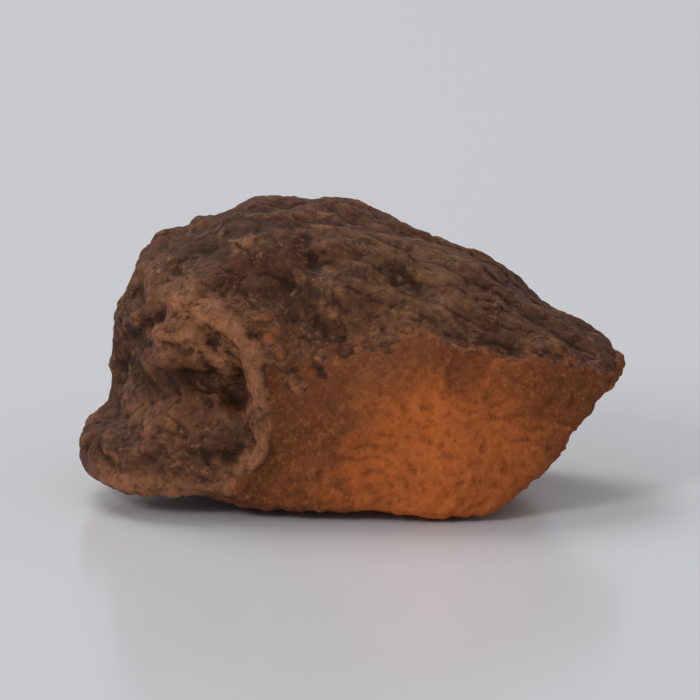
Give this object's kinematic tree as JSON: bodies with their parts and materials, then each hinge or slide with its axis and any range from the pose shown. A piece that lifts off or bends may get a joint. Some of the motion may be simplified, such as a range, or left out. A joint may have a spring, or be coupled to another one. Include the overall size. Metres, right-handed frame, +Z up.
{
  "type": "dried kola nut piece",
  "caption": "Broken piece of dried kola nut: a dark wrinkled dome with a blunt snout at one end and flat, grainy orange-brown breaks.",
  "frame": {"origin": "centre of the bounding box's underside, on the surface that the nut lies on", "axes": "+X along the nut to its thin end, +Y away from the largest break, +Z up"},
  "size_m": [0.0182, 0.0116, 0.0097],
  "materials": {
    "nut": "dry, dark brown wrinkled skin with a dull sheen, and rough cinnamon-orange breaks"
  },
  "bodies": {
    "root": {"kola_nut": "nut"}
  },
  "joints": []
}
